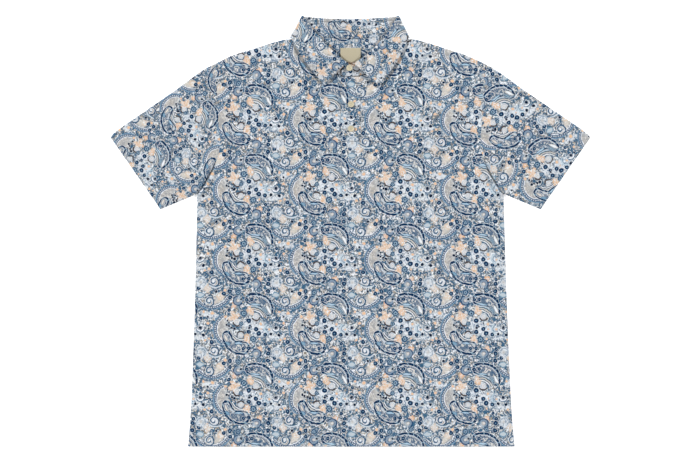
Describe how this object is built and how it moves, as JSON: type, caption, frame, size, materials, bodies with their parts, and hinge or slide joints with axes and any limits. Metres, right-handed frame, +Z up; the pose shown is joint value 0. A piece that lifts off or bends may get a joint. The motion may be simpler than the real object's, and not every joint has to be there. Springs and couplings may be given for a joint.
{
  "type": "polo shirt",
  "caption": "Short-sleeved polo shirt laid flat, with turned-down collar on a stand, buttoned half placket, set-in sleeves and a blank neck label.",
  "frame": {"origin": "on the resting plane, under the middle of the shirt's outline", "axes": "+X to the wearer's left, +Y from the hem to the collar, +Z up through the front of the shirt"},
  "size_m": [0.8764, 0.7865, 0.0149],
  "materials": {
    "print": "printed light jersey knit, matt",
    "button": "cream, slightly polished",
    "label": "plain woven beige, blank"
  },
  "bodies": {
    "root": {"front": "print", "back": "print", "sleeve_left": "print", "sleeve_right": "print", "collar_leaf": "print", "collar_stand": "print", "placket_upper": "print", "placket_under": "print", "button_collar": "button", "button_1": "button", "button_2": "button", "label": "label"}
  },
  "joints": []
}
